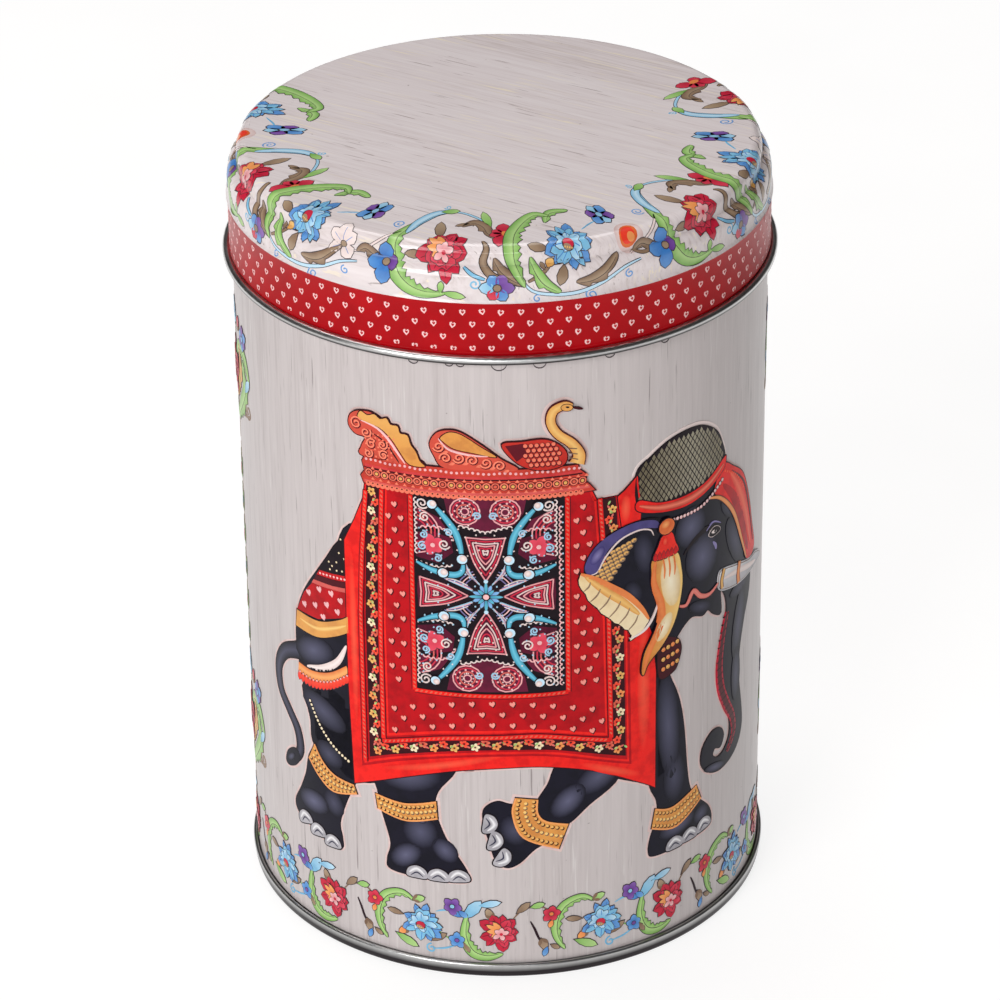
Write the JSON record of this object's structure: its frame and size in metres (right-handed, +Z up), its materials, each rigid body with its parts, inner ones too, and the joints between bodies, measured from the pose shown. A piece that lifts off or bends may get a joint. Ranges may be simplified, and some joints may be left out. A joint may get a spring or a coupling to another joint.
{
  "type": "tea caddy",
  "caption": "Round printed tin tea caddy: straight body on a seamed base, airtight plug lid with a knob, and a stepped slip-over lid with a rolled edge.",
  "frame": {"origin": "centre of the base, at the level of the standing edge of the seam", "axes": "+Z up along the axis of the caddy; -Y is the front, the side with the printed elephant; +X is to the right seen from the front"},
  "size_m": [0.1026, 0.1026, 0.1524],
  "materials": {
    "wood_print": "gloss lacquer over a whitewashed wood print",
    "bare_tin": "bright rolled tinplate",
    "turned_steel": "turned, fine lathe lines",
    "red_print": "gloss lacquered print",
    "orange_print": "gloss lacquered print",
    "navy_print": "gloss lacquered print",
    "gold_print": "gloss lacquered print",
    "green_print": "gloss lacquered print",
    "sky_print": "gloss lacquered print",
    "blue_print": "gloss lacquered print",
    "crimson_print": "gloss lacquered print",
    "brown_print": "gloss lacquered print",
    "cream_print": "gloss lacquered print",
    "pink_print": "gloss lacquered print",
    "purple_print": "gloss lacquered print"
  },
  "bodies": {
    "caddy_body": {"body_wall": "wood_print", "bottom_end": "bare_tin"},
    "plug_lid": {"inner_lid": "bare_tin", "inner_lid_knob": "turned_steel", "knob_rivet": "turned_steel"},
    "slip_lid": {"outer_lid": "wood_print"}
  },
  "joints": [
    {"name": "slip_lid_lift", "type": "slide", "parent": "caddy_body", "child": "slip_lid", "axis": [0, 0, 1], "range_m": [0, 0.06]},
    {"name": "plug_lid_lift", "type": "slide", "parent": "caddy_body", "child": "plug_lid", "axis": [0, 0, 1], "range_m": [0, 0.03]}
  ],
  "couplings": [
    {"joint": "plug_lid_lift", "follows": "slip_lid_lift", "ratio": 0.5}
  ]
}
